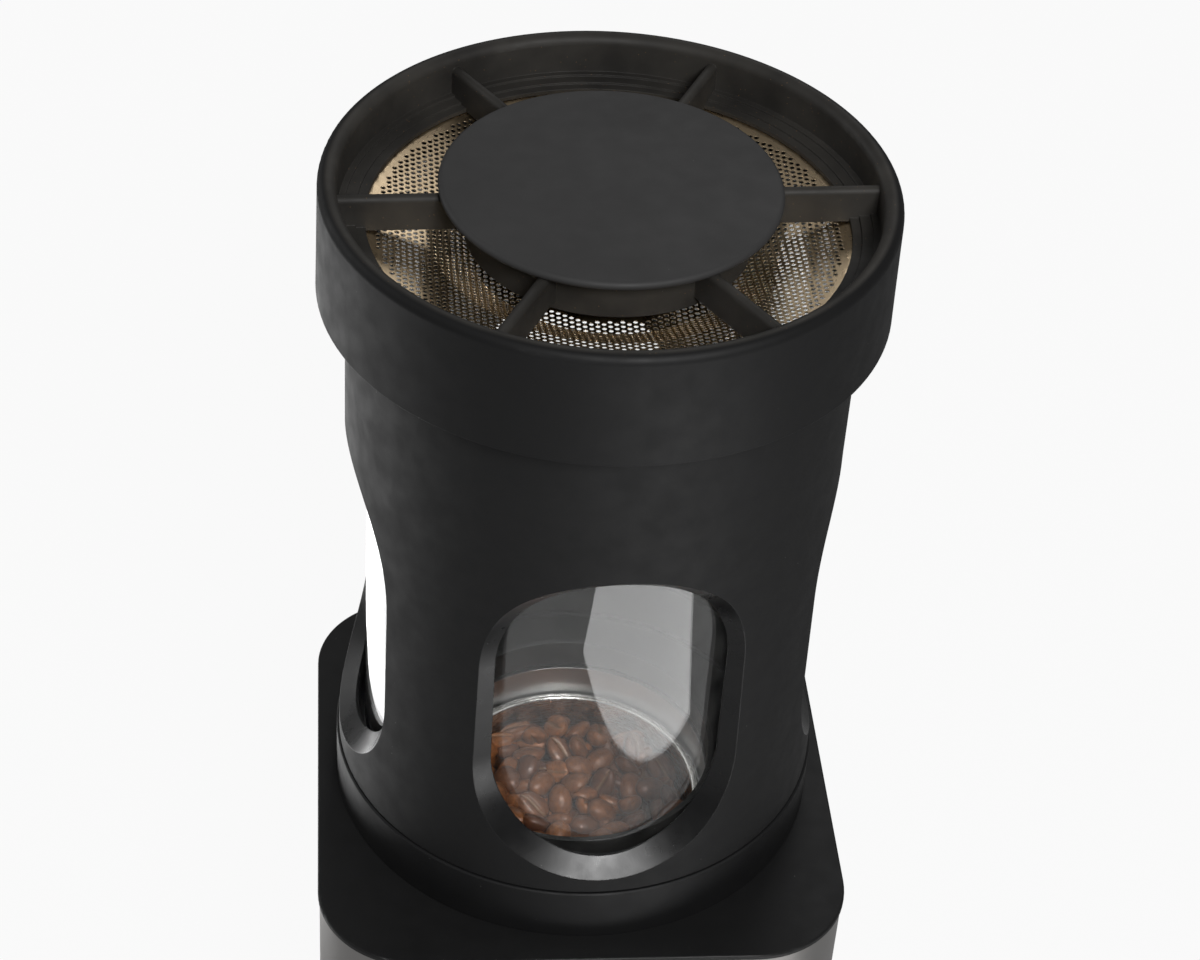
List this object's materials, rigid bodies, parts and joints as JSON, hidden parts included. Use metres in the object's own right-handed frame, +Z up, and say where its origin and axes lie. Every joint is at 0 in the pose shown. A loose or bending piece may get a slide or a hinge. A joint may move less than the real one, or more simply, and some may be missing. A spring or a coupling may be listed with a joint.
{
  "type": "home coffee bean roaster",
  "caption": "Upright hot-air coffee bean roaster: square base, round windowed chaff collector with a ribbed screen cap, lift-out metal cup of beans.",
  "frame": {"origin": "on the surface it stands on, under the middle of the whole roaster's box; the chamber's axis stands 1.75 mm behind it", "axes": "+Z up along the chamber's axis, -Y out of the front with the display and buttons, +X to the right seen from the front"},
  "size_m": [0.15, 0.1526, 0.374],
  "materials": {
    "matte_black": "matt moulded",
    "disc_black": "soft matt",
    "deck_black": "matt moulded",
    "inner_black": "moulded",
    "screen_steel": "perforated, warm tint",
    "brushed_case": "brushed, vertical sheen",
    "cup_steel": "spun and polished",
    "plain_steel": "zinc plated",
    "clear_glass": "clear",
    "display_glass": "dark, gloss",
    "silicone": "satin",
    "foot_rubber": "matt",
    "bean_brown": "roasted, oily",
    "well_metal": "spun",
    "insulation": "ceramic fibre",
    "mica": "split mica",
    "heater_wire": "oxidised",
    "motor_metal": "satin",
    "fan_plastic": "moulded",
    "board_green": "solder mask",
    "button_black": "satin",
    "copper": "plated",
    "lead_sheath": "silicone sheath",
    "display_dark": "dark"
  },
  "bodies": {
    "base": {"deck": "deck_black", "deck_collar": "matte_black", "collar_screws": "plain_steel", "case_wrap": "brushed_case", "floor_plate": "inner_black", "feet": "foot_rubber", "case_screws": "plain_steel", "chamber_well": "well_metal", "well_screws": "plain_steel", "well_insulation": "insulation", "swirl_plate": "plain_steel", "air_duct": "well_metal", "heater_tube": "mica", "heater_former": "mica", "heater_coil": "heater_wire", "heater_terminals": "mica", "air_probe": "plain_steel", "fan_housing": "fan_plastic", "fan_cover": "fan_plastic", "motor_can": "motor_metal", "motor_bearings": "plain_steel", "motor_stator": "motor_metal", "front_frame": "inner_black", "control_board": "board_green", "board_screws": "plain_steel", "display_module": "display_dark", "display_window": "display_glass", "tact_switches": "button_black", "usb_socket": "plain_steel", "mains_inlet": "inner_black", "inlet_pins": "copper", "switch_frame": "inner_black", "mains_leads": "lead_sheath", "motor_leads": "lead_sheath", "heater_leads": "lead_sheath"},
    "collector": {"collector_sleeve": "matte_black", "liner": "clear_glass", "liner_seals": "silicone", "chaff_tray": "inner_black", "tray_gasket": "silicone"},
    "cap": {"cap_ring": "matte_black", "cap_disc": "disc_black", "screen": "screen_steel", "screen_retainer": "inner_black", "cap_gasket": "silicone", "screen_screw": "plain_steel", "screen_washer": "plain_steel"},
    "cup": {"roast_cup": "cup_steel", "cup_floor": "cup_steel", "bean_bed": "bean_brown"},
    "fan_rotor": {"impeller": "fan_plastic", "motor_shaft": "plain_steel", "motor_rotor": "motor_metal"},
    "rocker": {"power_rocker": "button_black"},
    "button_left": {"button_left": "button_black"},
    "button_middle": {"button_middle": "button_black"},
    "button_right": {"button_right": "button_black"}
  },
  "joints": [
    {"name": "collector_lift", "type": "slide", "parent": "base", "child": "collector", "axis": [0, 0, 1], "range_m": [0, 0.12]},
    {"name": "cap_lift", "type": "slide", "parent": "collector", "child": "cap", "axis": [0, 0, 1], "range_m": [0, 0.06]},
    {"name": "cup_lift", "type": "slide", "parent": "base", "child": "cup", "axis": [0, 0, 1], "range_m": [0, 0.1]},
    {"name": "fan_spin", "type": "hinge", "parent": "base", "child": "fan_rotor", "pos_m": [0, 0.00175, 0.052], "axis": [0, 0, 1], "continuous": true},
    {"name": "power_rocker_tip", "type": "hinge", "parent": "base", "child": "rocker", "pos_m": [0.03, 0.06875, 0.034], "axis": [1, 0, 0], "range_deg": [0, 14]},
    {"name": "button_left_press", "type": "slide", "parent": "base", "child": "button_left", "axis": [0, 1, 0], "range_m": [0, 0.0008], "stiffness_N_per_m": 1500},
    {"name": "button_middle_press", "type": "slide", "parent": "base", "child": "button_middle", "axis": [0, 1, 0], "range_m": [0, 0.0008], "stiffness_N_per_m": 1500},
    {"name": "button_right_press", "type": "slide", "parent": "base", "child": "button_right", "axis": [0, 1, 0], "range_m": [0, 0.0008], "stiffness_N_per_m": 1500}
  ]
}
